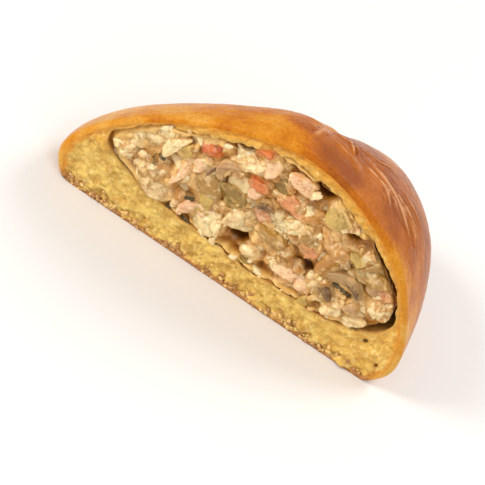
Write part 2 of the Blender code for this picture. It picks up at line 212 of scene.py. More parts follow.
def rough(points, depth, size, seed, octaves=1):
    """Smooth noise from about -depth to depth; each octave is half as large and half as strong."""
    total = np.zeros(len(points))
    for octave in range(octaves):
        shift = Vector([(seed + OCTAVE_SEEDS * octave) * step for step in SEED_STEPS])
        scaled = np.asarray(points) / (size / 2**octave) + np.array(shift)
        total += NOISE_GAIN * np.array([noise.noise(place) for place in scaled.tolist()]) / 2**octave
    return depth * total


def from_stroke(points, start, end):
    """How far each point is from a straight stroke, and at which share of its length."""
    line = end - start
    share = np.clip((points - start) @ line / (line @ line), 0.0, 1.0)
    return np.linalg.norm(points - start - share[:, None] * line, axis=1), share


def from_line(points, plan):
    """How far each point is from a bent line on the roof, and at which share of its length."""
    plan = np.array(plan) * MM
    line = np.column_stack([plan, roof_height(*polar(plan))])
    away, along = np.full(len(points), np.inf), np.zeros(len(points))
    before = 0.0
    for start, end in zip(line[:-1], line[1:]):
        apart, share = from_stroke(points, start, end)
        length = np.linalg.norm(end - start)
        along = np.where(apart < away, before + share * length, along)
        away = np.minimum(apart, away)
        before += length
    return away, along / before


def wrinkle_relief(points):
    """Thin ridges and grooves along the lines of WRINKLES, which fade out at their ends."""
    total = np.zeros(len(points))
    near = points[:, 2] > WRINKLED[0]
    bent = points[near]
    uneven = 1.0 + rough(bent, *WRINKLE_VARIES)
    bent[:, :2] += np.stack([rough(bent, *WRINKLE_BENDS, seed) for seed in BEND_SEEDS], axis=1)
    found = np.zeros(len(bent))
    for height, half_width, ripples, plan in WRINKLES:
        away, along = from_line(bent, plan)
        across = away / (half_width * MM * (WRINKLE_ENDS + WRINKLE_SWELLS * np.sin(math.pi * along)))
        profile = bell(across) + BESIDE[0] * bell(across - BESIDE[1], BESIDE[2])
        for rise, place, width in RIPPLES:
            profile += ripples * rise * bell(across - place, width)
        fade = smooth(*FADES_IN, along) * (1.0 - smooth(*FADES_OUT, along))
        found += height * profile * uneven * fade
    total[near] = found * smooth(*WRINKLED, points[near, 2])
    return total


def crust_relief(points):
    """How far the crust stands out or sinks, and how much of that is fine wrinkles."""
    height = points[:, 2]
    from_hub, bearing = polar(points[:, :2] - HUB)
    on_roof = smooth(*ON_ROOF, height)
    above_base = smooth(*ABOVE_BASE, height)
    deepens = smooth(*HUB_DEEPENS, np.cos(bearing - HUB_DEEPEST))
    groove = HUB_DEPTH * blend(HUB_SHALLOWEST, 1.0, deepens) * bell(from_hub - HUB_GROOVE, HUB_WIDTH)
    from_settled, _ = polar(points[:, :2] - SETTLED)
    settled = SETTLED_DEPTH * bell(from_settled, SETTLED_REACH)
    from_notch, _ = from_stroke(points[:, :2], NOTCH_START, NOTCH_END)
    notch = NOTCH_DEPTH * bell(from_notch, NOTCH_WIDTH)
    form = above_base * rough(points, *LUMPS) - on_roof * (settled + groove + notch)
    stretched = np.stack([from_hub / FAINT_LENGTH, bearing * FAINT_TURN, height / FAINT_HEIGHT], axis=1)
    creases = 1 - smooth(0.0, FAINT_WIDTH, np.abs(rough(stretched, 1.0, 1.0, FAINT_SEED)))
    faint = FAINT * creases * on_roof * smooth(*FAINT_FROM, from_hub)
    fine = wrinkle_relief(points) - faint + rough(points, *SKIN)
    return form, above_base * WRINKLE_DEPTH * fine


def ring_directions(round_angle, back_angle):
    flat = np.sin(back_angle)
    return np.stack([np.cos(round_angle) * flat, np.cos(back_angle), np.sin(round_angle) * flat], axis=1)


def bun_surface(round_angle, back_angle):
    """Points of the crust, from the straight-back pole to the cut's outer edge, and their fine relief."""
    directions = ring_directions(round_angle, back_angle)
    smooth_reach = cast(in_bun, directions)
    points = MIDDLE + directions * smooth_reach[:, None]
    form, fine = crust_relief(points)
    reach = smooth_reach + form + fine
    depth = directions[:, 1] * reach
    near_cut = 1.0 - np.clip(depth / RIM_ROUND, 0.0, 1.0)
    rounding = RIM_ROUND * (1.0 - np.sqrt(1.0 - near_cut * near_cut))
    reach -= rounding * smooth(*ROUNDED_FROM, points[:, 2])
    points = MIDDLE + directions * reach[:, None]
    points[:, 2] = np.maximum(points[:, 2], 0.0)
    return points, fine


def hollow_surface(round_angle, back_angle, gap=0.0):
    directions = ring_directions(round_angle, back_angle)
    reach = cast(in_hollow, directions)
    places = MIDDLE + directions * reach[:, None]
    lumps = rough(places, *FILL_LUMPS) + rough(places, *FINE_LUMPS) - FILL_SMALLER
    return MIDDLE + directions * (reach + lumps - gap)[:, None]


def shrunk(round_angle, widening=1.0):
    """For each place where the filling shrank: its share at each angle round the cut, and its gap."""
    for place, spread, gap in SHRUNK_AT:
        off = (np.degrees(round_angle) - place + 180.0) % 360.0 - 180.0
        yield bell(off, widening * spread, 4), gap * MM


def filling_gap(round_angle, back_angle):
    shown = smooth(*SHRUNK_SHOWS, np.minimum(back_angle, math.pi - back_angle))
    gap = np.full(len(round_angle), FILL_GAP)
    for share, widest in shrunk(round_angle):
        gap = np.maximum(gap, blend(FILL_GAP, widest, share * shown))
    return gap


def keep_clear(points, margin):
    """Pulls points that would reach the dough back towards the middle, as if pressed by it."""
    reach = np.linalg.norm(points - MIDDLE, axis=1)
    directions = (points - MIDDLE) / reach[:, None]
    back_angle = np.arccos(np.clip(directions[:, 1], -1.0, 1.0))
    round_angle = np.arctan2(directions[:, 2], directions[:, 0])
    allowed = hollow_surface(round_angle, back_angle, margin + filling_gap(round_angle, back_angle)) - MIDDLE
    most = np.linalg.norm(allowed, axis=1)
    return MIDDLE + directions * np.minimum(reach, most)[:, None]


# ---------------------------------------------------------------- meshes


def uv_sphere(name, segments, rings):
    """A sphere, flipped as its points get placed mirrored, and their angles round it and from its top."""
    bpy.ops.mesh.primitive_uv_sphere_add(segments=segments, ring_count=rings, radius=1.0)
    made = bpy.context.object
    made.name = name
    made.data.flip_normals()
    unit = read_points(made.data)
    unit /= np.linalg.norm(unit, axis=1)[:, None]
    return made, np.arctan2(unit[:, 1], unit[:, 0]), np.arccos(np.clip(unit[:, 2], -1.0, 1.0))


def read_points(mesh):
    return np.array([vertex.co for vertex in mesh.vertices])


def write_points(mesh, points):
    """Moves the vertices to points measured from the bun's axis."""
    mesh.vertices.foreach_set("co", (points + BUN_AXIS).astype(np.float32).ravel())
    mesh.update()


def store(mesh, name, values):
    layer = mesh.attributes.new(name, "FLOAT", "POINT")
    layer.data.foreach_set("value", np.asarray(values, np.float32))


def linked(name, data):
    made = bpy.data.objects.new(name, data)
    bpy.context.scene.collection.objects.link(made)
    return made


# Bubbles in the crumb, more and more of them towards the base and few of them large
PORE_SEED = 5
PORES = 1100
PORES_ALONG, PORES_HIGH = (-50, 48), (0.0, 47 * MM)
PORES_LOWER, PORES_SMALLER = 1.35, 3.0
PORE_SIZE = (0.20 * MM, 0.62 * MM)
PORE_SEARCH = 1.4 * PORE_SIZE[1]
PORE_DEPTH = 0.75
PORE_FLATNESS = 1.15  # bubbles are this much wider than they are high
PORE_WOBBLE = 0.22 * MM, 1.3 * MM, 11, 2
LARGE_PORES = ((36.4, 9.8, 0.75), (42.0, 5.8, 0.5))  # X, height and radius in mm
LARGE_PORE_DEPTH = 1.2 * MM
# The torn face of the cut: how far back it lies, and how rough it is, with this share more near the base
TORN_BACK = 0.25 * MM
TORN, TORN_BROAD = (0.46 * MM, 2.2 * MM, 12, 4), (0.30 * MM, 4.6 * MM, 15, 2)
TORN_LOW, TORN_NEAR_BASE = 0.30 / 0.46, (1.5 * MM, 6.0 * MM)
FACE_STARTS = 0.9 * MM  # the face reaches its full depth this far from the rim
RAGGED, RAGGED_MEAN, RAGGED_UP_TO = (0.44 * MM, 1.7 * MM, 14, 3), 0.36 * MM, 2.2 * MM  # the edge of the base
WALL_ROUGH = 0.22 * MM, 2.2 * MM, 13, 3
OUTER_SPACING, HOLLOW_SPACING = 1.14, 1.3  # rows of the mesh crowd towards the cut by these powers
MOIST_REACH = 2.6 * MM
THIN_WALL = 5.0 * MM, 9.5 * MM
GOLDEN_RIGHT, GOLDEN_SHARE = (14 * MM, 34 * MM), 0.55  # the crumb is more golden there, as where it is thin
BASE_LINE_HEIGHT, CREASE_LIMITS = (0.6 * MM, 3.2 * MM), (-1.0, 1.5)
FAR = 99.0


def drawn(limits, power, draw):
    """A number between two limits; the higher the power, the more often it is near the first."""
    return blend(*limits, draw.random() ** power)


def pore_relief(points):
    """Depth of the bubbles at points on the cut: uneven pits of mixed size."""
    draw = random.Random(PORE_SEED)
    tree = kdtree.KDTree(PORES)
    radii = []
    for index in range(PORES):
        along = draw.uniform(*PORES_ALONG) * MM
        height = drawn(PORES_HIGH, PORES_LOWER, draw)
        tree.insert((along, 0.0, height * PORE_FLATNESS), index)
        radii.append(drawn(PORE_SIZE, PORES_SMALLER, draw))
    tree.balance()
    wobble = rough(points, *PORE_WOBBLE)
    depth = np.zeros(len(points))
    for index, (x, _, z) in enumerate(points.tolist()):
        for _, which, away in tree.find_range((x, 0.0, z * PORE_FLATNESS), PORE_SEARCH):
            radius = radii[which]
            share = (away + wobble[index]) / radius
            if share < 1.0:
                depth[index] = max(depth[index], radius * PORE_DEPTH * math.sqrt(1.0 - max(share, 0.0) ** 2))
    for x, z, radius in LARGE_PORES:
        away = np.hypot(points[:, 0] - x * MM, points[:, 2] - z * MM) + wobble
        depth = np.maximum(depth, LARGE_PORE_DEPTH * bell(away, radius * MM, 4))
    return depth


def make_dough():
    """One mesh: rows of the crust from the back to the cut, then the cut's face, then the hollow's wall."""
    rings = OUTER_ROWS + CUT_ROWS + HOLLOW_ROWS
    dough, round_angle, down = uv_sphere("dough_crust_and_crumb", ROUND_SEGMENTS, rings)
    mesh = dough.data
    row = down / math.pi * rings
    outer = np.clip(row / OUTER_ROWS, 0.0, 1.0)
    crust, fine = bun_surface(round_angle, math.pi / 2 * (1.0 - (1.0 - outer) ** OUTER_SPACING))
    inner = np.clip((row - OUTER_ROWS - CUT_ROWS) / HOLLOW_ROWS, 0.0, 1.0)
    wall = hollow_surface(round_angle, math.pi / 2 * (1.0 - inner**HOLLOW_SPACING))
    across = np.clip((row - OUTER_ROWS) / CUT_ROWS, 0.0, 1.0)
    points = blend(crust, wall, across[:, None])
    in_wall = row >= OUTER_ROWS + CUT_ROWS + 0.5
    on_cut = (row > OUTER_ROWS + 0.5) & ~in_wall
    points[(row > OUTER_ROWS - 0.5) & ~in_wall, 1] = 0.0
    # The cut: torn a little, with bubbles
    face = points[on_cut]
    from_rim = np.linalg.norm(face - crust[on_cut], axis=1)
    bubbles = pore_relief(face)
    low = 1.0 - smooth(*TORN_NEAR_BASE, face[:, 2])
    torn = (1.0 + TORN_LOW * low) * rough(face, *TORN) + rough(face, *TORN_BROAD)
    face[:, 1] += smooth(0.0, FACE_STARTS, from_rim) * (bubbles + torn + TORN_BACK)
    ragged = RAGGED_MEAN + rough(face, *RAGGED)
    face[:, 2] += np.maximum(ragged * (1.0 - smooth(0.0, RAGGED_UP_TO, face[:, 2])), 0.0)
    points[on_cut] = face
    walls = points[in_wall]
    towards = walls - MIDDLE
    towards /= np.linalg.norm(towards, axis=1)[:, None]
    points[in_wall] = walls + towards * rough(walls, *WALL_ROUGH)[:, None]
    write_points(mesh, points)
    mesh.shade_smooth()
    pore, rind = np.zeros(len(points)), np.zeros(len(points))
    pore[on_cut] = bubbles / (PORE_SIZE[1] * PORE_DEPTH)
    rind[on_cut] = from_rim / MM
    rind[in_wall] = FAR
    inside = np.where(in_wall, 1.0, 0.0)
    moist = inside.copy()
    moist[on_cut] = 1.0 - smooth(0.0, MOIST_REACH, np.linalg.norm(face - wall[on_cut], axis=1))
    thin = 1.0 - smooth(*THIN_WALL, np.linalg.norm(wall - crust, axis=1))
    read = {
        "pore": pore,
        "rind": rind,
        "moist": moist,
        "thin": np.maximum(thin, GOLDEN_SHARE * smooth(*GOLDEN_RIGHT, points[:, 0])),
        "inside": inside,
        "low": 1.0 - smooth(*BASE_LINE_HEIGHT, points[:, 2]),
        "bake": bake_amount(points),
        "crease": np.clip(-fine / WRINKLE_DEPTH, *CREASE_LIMITS),
    }
    for name, values in read.items():
        store(mesh, name, values)
    # The crust's faces take the first material, the rest the second
    crumb = [row[list(polygon.vertices)].max() > OUTER_ROWS + 0.5 for polygon in mesh.polygons]
    mesh.materials.append(crust_material())
    mesh.materials.append(crumb_material())
    mesh.polygons.foreach_set("material_index", np.array(crumb, np.int32))
    mesh.update()
    return dough


# Crumbs on the cut's lower edge; the powers crowd them to the left and make most of them small
CRUMB_SEED = 17
EDGE_CRUMBS = 400
EDGE_ALONG, EDGE_TO_LEFT = (-44 * MM, 40 * MM), 1.25
EDGE_CRUMB_SIZE, EDGE_SMALLER = (0.20 * MM, 0.70 * MM), 2.2
EDGE_LIFT, EDGE_SCATTER, EDGE_DEPTH = 0.6, 1.3 * MM, (0.05 * MM, 0.55 * MM)


def make_edge_crumbs():
    draw = random.Random(CRUMB_SEED)
    unit, faces = unit_ball(2)
    parts = []
    for _ in range(EDGE_CRUMBS):
        along = drawn(EDGE_ALONG, EDGE_TO_LEFT, draw)
        size = drawn(EDGE_CRUMB_SIZE, EDGE_SMALLER, draw)
        height = EDGE_LIFT * size + abs(draw.gauss(0, EDGE_SCATTER))
        half_length = size * draw.uniform(*LONGER)
        local, _ = shaped_piece(unit, "dab", half_length, size, draw.uniform(0, math.pi), draw)
        points = local + np.array([along, draw.uniform(*EDGE_DEPTH), height])
        points[:, 2] = np.maximum(points[:, 2], 0.0)
        parts.append((points, faces, 0.0, draw.random()))
    return joined("dough_edge_crumbs", parts, "crumb")


# Browning: how much there is at least, then each change's strength and where it sets in or how wide it is
BAKED = 0.30
BAKED_CLOUDS = ((0.13, 17 * MM, 21), (0.09, 6 * MM, 22))
BAKED_TIP, TIP_TO = 0.12, (-34 * MM, -22 * MM)
BAKED_RIGHT, RIGHT_TO = 0.30, (-16 * MM, 14 * MM)
# Towards the far right the crust browns less, a paleness that paints the sheen there
LESS_BAKED_AS_SHEEN, FAR_RIGHT = 0.52, (26 * MM, 40 * MM)
BAKED_BEHIND, BEHIND = 0.10, (4 * MM, 22 * MM)
BAKED_SHOULDER, SHOULDER_REACH = 0.09, 13 * MM
PALE_BASE, BASE_TO = 0.28, (3 * MM, 14 * MM)
BASE_WAVE = 2 * MM, 11 * MM, 23
BAKED_STREAK, STREAK_WIDTH, STREAK_HEIGHT = 0.30, 5 * MM, (30 * MM, 36 * MM)
PALE_RIM, RIM_WIDTH, RIM_FROM = 0.34, 3.8 * MM, (8 * MM, 15 * MM)
PALE_RING, RING_WIDTH, RING_HEIGHT = 0.25, 2.4 * MM, (26 * MM, 34 * MM)


def bake_amount(points):
    """How far the crust is browned, from 0, pale, to 1: more on the roof and to the right, less at the far
    right, where the paleness is painted sheen.
    """
    x, y, z = points.T
    from_hub, _ = polar(points[:, :2] - HUB)
    from_shoulder, _ = polar(points[:, :2] - SHOULDER)
    from_streak, _ = from_stroke(points[:, :2], STREAK_START, STREAK_END)
    amount = BAKED + sum(rough(points, *cloud) for cloud in BAKED_CLOUDS)
    amount += BAKED_TIP * smooth(*TIP_TO, x)
    amount += BAKED_RIGHT * smooth(*RIGHT_TO, x) * (1 - LESS_BAKED_AS_SHEEN * smooth(*FAR_RIGHT, x))
    amount += BAKED_BEHIND * smooth(*BEHIND, y)
    amount += BAKED_SHOULDER * bell(from_shoulder, SHOULDER_REACH)
    amount += BAKED_STREAK * bell(from_streak, STREAK_WIDTH) * smooth(*STREAK_HEIGHT, z)
    amount -= PALE_BASE * (1.0 - smooth(*BASE_TO, z + rough(points, *BASE_WAVE)))
    amount -= PALE_RIM * bell(y, RIM_WIDTH) * smooth(*RIM_FROM, x)
    return amount - PALE_RING * bell(from_hub - HUB_GROOVE, RING_WIDTH) * smooth(*RING_HEIGHT, z)


# ---------------------------------------------------------------- filling

# Pieces that stand out in the cut: kind, from the axis along X, height, half-length, half-width (mm), turn
PLACED = (
    ("pale", -33.5, 23.8, 5.0, 4.5, 80),
    ("cream", -36.4, 17.8, 2.8, 2.2, 20),
    ("cream", -31.6, 16.8, 3.0, 2.4, -20),
    ("cream", -27.4, 26.6, 3.6, 1.6, 76),
    ("olive", -24.2, 26.8, 3.0, 1.5, 60),
    ("pale", -26.0, 14.4, 4.8, 3.8, 15),
    ("pink", -22.3, 21.5, 4.7, 1.9, 80),
    ("pink", -19.0, 27.0, 3.6, 2.2, 35),
    ("pale", -16.3, 21.6, 5.2, 4.4, 0),
    ("red", -18.7, 32.4, 3.3, 2.9, 30),
    ("grey", -13.9, 30.2, 4.0, 1.5, 75),
    ("grey", -15.9, 28.4, 2.4, 0.9, 50),
    ("cream", -10.6, 34.4, 3.5, 2.4, 70),
    ("cream", -11.2, 29.6, 1.9, 1.6, 0),
    ("red", -8.8, 40.2, 2.3, 1.3, 20),
    ("pink", -5.8, 37.6, 2.7, 2.2, 30),
    ("red", -6.0, 31.2, 2.3, 1.2, 10),
    ("cream", -1.0, 34.7, 3.2, 2.4, 0),
    ("pink", -5.2, 28.2, 2.8, 1.7, 10),
    ("pink", 3.3, 31.3, 5.0, 2.3, -8),
    ("pink", 3.2, 37.8, 3.0, 2.3, 0),
    ("olive", 13.4, 36.4, 3.5, 2.4, -30),
    ("cream", 10.8, 31.6, 3.1, 2.1, 0),
    ("cream", 17.0, 29.0, 4.2, 2.7, -30),
    ("olive", 22.4, 29.3, 2.7, 1.8, -30),
    ("pale", 27.8, 27.2, 3.8, 3.1, -35),
    ("grey", -1.6, 27.2, 2.5, 1.3, 30),
    ("olive", -8.8, 23.4, 3.4, 3.2, 0),
    ("pale", -5.0, 19.0, 3.2, 2.8, 20),
    ("pale", -11.7, 13.0, 4.4, 3.3, 15),
    ("cream", -8.0, 13.4, 1.5, 2.8, 10),
    ("cream", -19.0, 13.0, 2.6, 2.6, 0),
    ("pale", 3.8, 18.6, 4.3, 3.9, 0),
    ("cream", 1.7, 12.4, 2.6, 2.0, 0),
    ("cream", 5.6, 25.2, 3.6, 2.4, 20),
    ("pale", 11.4, 26.6, 3.0, 2.2, -30),
    ("pink", 13.4, 22.4, 3.2, 2.5, 60),
    ("pink", 10.8, 12.7, 4.4, 3.8, 0),
    ("pink", 17.0, 12.8, 3.0, 2.9, 0),
    ("cream", 19.2, 22.0, 2.3, 4.1, 0),
    ("grey", 25.4, 21.0, 4.8, 1.5, -8),
    ("grey", 21.6, 16.4, 2.3, 1.5, 0),
    ("cream", 25.2, 15.2, 2.0, 1.6, 0),
    ("grey", 28.9, 16.5, 1.8, 1.4, 0),
    ("cream", 33.2, 19.6, 3.7, 3.0, 60),
    ("cream", 36.2, 20.6, 1.5, 1.4, 0),
    ("cream", 30.6, 12.3, 2.3, 2.1, 0),
    ("cream", 25.0, 11.4, 2.6, 1.7, 0),
    ("pink", 33.4, 24.4, 2.4, 1.6, -50),
)

# Places where the filling falls away into a dark hollow: X, height, half-length, half-width (mm), turn, depth
HOLLOWS = (
    (-3.4, 15.2, 2.6, 1.7, 130, 5.0),
    (14.0, 17.4, 2.4, 1.1, 0, 3.2),
    (7.6, 39.0, 2.2, 1.4, 0, 4.0),
    (-14.0, 37.6, 3.2, 1.3, 28, 4.0),
    (31.5, 28.6, 6.5, 1.3, -42, 4.0),
    (38.2, 16.4, 4.2, 1.3, 85, 4.5),
    (34.8, 11.4, 2.8, 1.0, -30, 3.5),
    (-30.2, 14.6, 0.9, 0.8, 0, 3.0),
    (-20.6, 11.4, 1.0, 1.6, 0, 3.0),
    (-15.6, 9.8, 1.6, 0.7, -20, 3.0),
    (-28.4, 20.6, 0.8, 2.2, -25, 3.0),
    (-39.0, 15.0, 2.0, 1.0, -60, 3.0),
    (19.0, 33.0, 1.2, 1.0, 0, 3.0),
)

# Near-black flecks laid in the small hollows and just under pieces, as painted shade: X, height, half-length,
# half-width (mm), turn
SHADE_FLECKS = (
    (-28.0, 21.6, 0.9, 0.7, 0),
    (-30.1, 14.5, 1.0, 0.9, 0),
    (-17.4, 15.7, 1.5, 0.5, 24),
    (-20.6, 9.8, 0.8, 0.5, 60),
    (-15.4, 9.6, 1.3, 0.5, -25),
    (36.4, 10.2, 0.7, 0.8, 0),
    (-28.9, 18.0, 0.4, 1.5, -15),
    (-36.0, 14.2, 1.4, 0.5, -25),
    (24.2, 18.9, 2.4, 0.7, -12),
)

KINDS = ("pale", "cream", "pink", "red", "olive", "grey")
FILLING_SEED = 11
# How sharp and how uneven each kind is cut, and the share and size of each layer of unevenness
CUTS = {
    "pale": (6, 0.15), "cream": (4, 0.24), "pink": (4, 0.24), "red": (6, 0.18),
    "olive": (6, 0.16), "grey": (6, 0.18), "dab": (3, 0.20),
}
UNEVEN_LAYERS = ((1.0, 0.85), (0.5, 0.34), (0.22, 0.14))
# A diced block: its six sides lean and differ, and a few more planes cut its corners
BLOCK_SIDES = ((1, 0, 0), (-1, 0, 0), (0, 1, 0), (0, -1, 0), (0, 0, 1), (0, 0, -1))
SIDE_LEAN, SIDE_REACH = 0.22, (0.80, 1.0)
EXTRA_CUTS, CUT_REACH = 5, (0.82, 1.08)
TILTS = ((0, 0.45), (2, 0.40))  # round which axis, and how far at most
CURL, CURL_RISE = 0.55, 0.25  # of the grey slices
LONGER, BLOCK_DEPTH = (1.0, 1.5), (0.85, 1.15)
NOISE_PLACES = 0, 60  # each piece takes its unevenness from its own place in the noise
# The placed pieces: how far behind the cut they stand (mm), and which stand nearer or are larger than listed
FRONT, PROUD, PROUD_BY = (-1.1, 0.3), ("grey", "red"), 0.7
GROWTH = {"pale": 1.22, "cream": 1.15, "red": 1.3}
FINE_BALL_FROM, MARGIN = 3.2 * MM, (0.0, 0.5)
# The small pieces, on a staggered grid; the jitter is in spacings
SMALL_SPACING, ROW_STEP, JITTER = 5.6 * MM, 0.86, 0.35
SMALL_SIZE, SMALL_DEPTH = (1.7 * MM, 3.1 * MM), (0.0, 1.6)
SMALL_SHARES = {"cream": 0.52, "pale": 0.34, "pink": 0.04, "olive": 0.07, "red": 0.01, "grey": 0.02}
SMALL_WITHIN, CLEAR_OF_HOLLOWS = 0.96, 1.3
CREAM_EDGE = 0.10, 0.80
SHADE_FROM, SHADE_VARIES = 0.1, 0.8
PALER, PALER_BY = (-8 * MM, -34 * MM), 0.2  # the pieces towards the tip are paler
# Dabs of cream: at the placed pieces' rims, and along this stretch of the filling's edge (degrees)
DABS_EACH, DAB_RIM = 1, 1.02
DABS_ALONG_EDGE, DAB_EDGE, DAB_WITHIN = 16, (150, 345), (0.93, 1.0)
DAB_SIZE, DABS_SMALLER, DAB_LENGTH = (0.55 * MM, 1.15 * MM), 1.6, (1.0, 2.0)
DAB_DEPTH, DAB_MARGIN = (0.5, 1.7), 1.03
# Flecks of painted shade: depth (mm) and flatness of the placed ones, then where the loose ones, dark specks
# of the filling, lie
SHADE_FLECK_DEPTH, SHADE_FLECK_FLATNESS = 0.9 * MM, np.array([1.0, 0.5, 1.0])
LOOSE_FLECKS, LOOSE_ALONG, LOOSE_HEIGHT, LOOSE_WITHIN = 8, (-40, 38), (10, 41), 0.93
LOOSE_SIZE, LOOSE_LENGTH, LOOSE_DEPTH = (0.14, 0.34), 1.5, (-0.6, 0.9)


def unit_ball(subdivisions):
    bpy.ops.mesh.primitive_ico_sphere_add(subdivisions=subdivisions, radius=1.0)
    made = bpy.context.object
    points = read_points(made.data)
    faces = np.array([list(p.vertices) for p in made.data.polygons])
    bpy.data.objects.remove(made)
    return points / np.linalg.norm(points, axis=1)[:, None], faces


def turned(points, axis, angle):
    c, s = math.cos(angle), math.sin(angle)
    i, j = [(1, 2), (2, 0), (0, 1)][axis]
    out = points.copy()
    out[:, i] = c * points[:, i] - s * points[:, j]
    out[:, j] = s * points[:, i] + c * points[:, j]
    return out


def across_ellipse(x, z, middle_x, middle_z, half_length, half_width, turn):
    """How far places are from the middle of a turned ellipse: 1 at its edge, and squared."""
    c, s = math.cos(turn), math.sin(turn)
    dx, dz = x - middle_x, z - middle_z
    return ((c * dx + s * dz) / half_length) ** 2 + ((c * dz - s * dx) / half_width) ** 2


def across_hollows(x, z):
    """For each hollow: how far places are across its ellipse, and its depth."""
    for middle_x, middle_z, a, b, turn, depth in HOLLOWS:
        away = across_ellipse(x, z, middle_x * MM, middle_z * MM, a * MM, b * MM, math.radians(turn))
        yield away, depth * MM


def in_some_hollow(x, z):
    return any(away < CLEAR_OF_HOLLOWS for away, _ in across_hollows(x, z))


def in_front_face(x, z, share=1.0):
    """Whether a place in the cut lies in the filling, and within this share of the way to its edge."""
    return in_hollow(np.array([[x / share, 0.0, FILL_LEVEL + (z - FILL_LEVEL) / share]]))[0]


def block(unit, sharpness, draw):
    """How far a diced block reaches in each direction: it is held in by six planes, and cut by a few more."""
    normals = [np.array(side) + [draw.gauss(0, SIDE_LEAN) for _ in range(3)] for side in BLOCK_SIDES]
    distances = [draw.uniform(*SIDE_REACH) for _ in BLOCK_SIDES]
    for _ in range(EXTRA_CUTS):
        normals.append(np.array([draw.gauss(0, 1) for _ in range(3)]))
        distances.append(draw.uniform(*CUT_REACH))
    normals = np.array([normal / np.linalg.norm(normal) for normal in normals])
    pull = np.maximum(unit @ normals.T / np.array(distances), 0.0)
    return (pull**sharpness).sum(axis=1) ** (-1.0 / sharpness)


def shaped_piece(unit, kind, half_length, half_width, turn, draw):
    """A diced block with worn, uneven faces: its points round its own middle, and its half-depth."""
    shift = np.array([draw.uniform(*NOISE_PLACES) for _ in range(3)])
    sharpness, unevenness = CUTS[kind]
    bulk = block(unit, sharpness, draw)
    for share, size in UNEVEN_LAYERS:
        bulk += rough(unit + shift, share * unevenness, size, 0)
    half_depth = min(half_length, half_width) * draw.uniform(*BLOCK_DEPTH)
    points = unit * bulk[:, None] * np.array([half_length, half_depth, half_width])
    if kind == "grey":
        points[:, 2] -= half_length * (CURL * (points[:, 0] / half_length) ** 2 - CURL_RISE)
    for axis, most in TILTS:
        points = turned(points, axis, draw.uniform(-most, most))
    return turned(points, 1, -turn), half_depth


def piece_places(draw):
    """All pieces: the placed ones, then small ones on a jittered staggered grid between them."""
    places = []
    for kind, x, z, a, b, turn in PLACED:
        front = draw.uniform(*FRONT) - (PROUD_BY if kind in PROUD else 0.0)
        grown = GROWTH.get(kind, 1.0) * MM
        places.append((kind, x * MM, z * MM, a * grown, b * grown, math.radians(turn), front * MM))
    rows = int((FILL_TOP - FILL_BOTTOM) / (ROW_STEP * SMALL_SPACING)) + 1
    columns = int((LEFT_TIP + RIGHT_SIDE) / SMALL_SPACING) + 1
    kinds, shares = list(SMALL_SHARES), list(SMALL_SHARES.values())
    for row in range(rows):
        for column in range(columns):
            x = (column + 0.5 * (row % 2) + draw.uniform(-JITTER, JITTER)) * SMALL_SPACING - LEFT_TIP
            z = FILL_BOTTOM + (ROW_STEP * row + draw.uniform(-JITTER, JITTER)) * SMALL_SPACING
            half = draw.uniform(*SMALL_SIZE)
            kind = draw.choices(kinds, shares)[0]
            turn = draw.uniform(0, math.pi)
            longer = draw.uniform(*LONGER)
            depth = draw.uniform(*SMALL_DEPTH) * MM
            if in_front_face(x, z, SMALL_WITHIN) and not in_some_hollow(x, z):
                places.append((kind, x, z, half * longer, half, turn, depth))
    return places


def dab_places(draw):
    """Small dabs of cream that cling to the placed pieces' rims, and where the filling meets the dough."""
    places = []
    for _, x, z, a, b, turn in PLACED:
        for _ in range(DABS_EACH):
            bearing = draw.uniform(0, 2 * math.pi)
            u, v = a * math.cos(bearing) * DAB_RIM, b * math.sin(bearing) * DAB_RIM
            c, s = math.cos(math.radians(turn)), math.sin(math.radians(turn))
            places.append(((x + c * u - s * v) * MM, (z + s * u + c * v) * MM))
    for _ in range(DABS_ALONG_EDGE):
        bearing = math.radians(draw.uniform(*DAB_EDGE))
        direction = np.array([[math.cos(bearing), 0.0, math.sin(bearing)]])
        reach = cast(in_hollow, direction)[0] * draw.uniform(*DAB_WITHIN)
        places.append((direction[0, 0] * reach, FILL_LEVEL + direction[0, 2] * reach))
    return places


def make_filling():
    draw = random.Random(FILLING_SEED)
    balls = {level: unit_ball(level) for level in (3, 4, 5)}
    gathered = {kind: [] for kind in KINDS}
    places = piece_places(draw)
    for kind, x, z, a, b, turn, front in places:
        unit, faces = balls[5] if a > FINE_BALL_FROM else balls[4]
        local, half_depth = shaped_piece(unit, kind, a, b, turn, draw)
        points = keep_clear(local + np.array([x, front + half_depth, z]), draw.uniform(*MARGIN) * MM)
        edge = 1.0 - smooth(*CREAM_EDGE, -local[:, 1] / np.linalg.norm(local, axis=1))
        shade = SHADE_FROM + SHADE_VARIES * draw.random() + PALER_BY * smooth(*PALER, x)
        gathered[kind].append((points, faces, edge, shade))
    made = [joined("filling_" + kind, gathered[kind], kind) for kind in KINDS]
    made.append(make_dabs(draw, balls[3]))
    made.append(make_core(places))
    made.append(make_specks_and_shade_flecks(draw, balls[3]))
    return made


def joined(name, parts, kind):
    """One mesh from many pieces, each given as its points, faces, share of edge, and shade."""
    first = np.cumsum([0] + [len(part[0]) for part in parts[:-1]])
    points = np.concatenate([part[0] for part in parts])
    faces = np.concatenate([part[1] + start for part, start in zip(parts, first)])
    mesh = bpy.data.meshes.new(name)
    mesh.from_pydata((points + BUN_AXIS).tolist(), [], faces.tolist())
    for read, column in (("edge", 2), ("shade", 3)):
        store(mesh, read, np.concatenate([np.full(len(part[0]), part[column]) for part in parts]))
    store(mesh, "depth", points[:, 1] / MM)
    mesh.shade_smooth()
    mesh.materials.append(piece_material(kind))
    return linked(name, mesh)


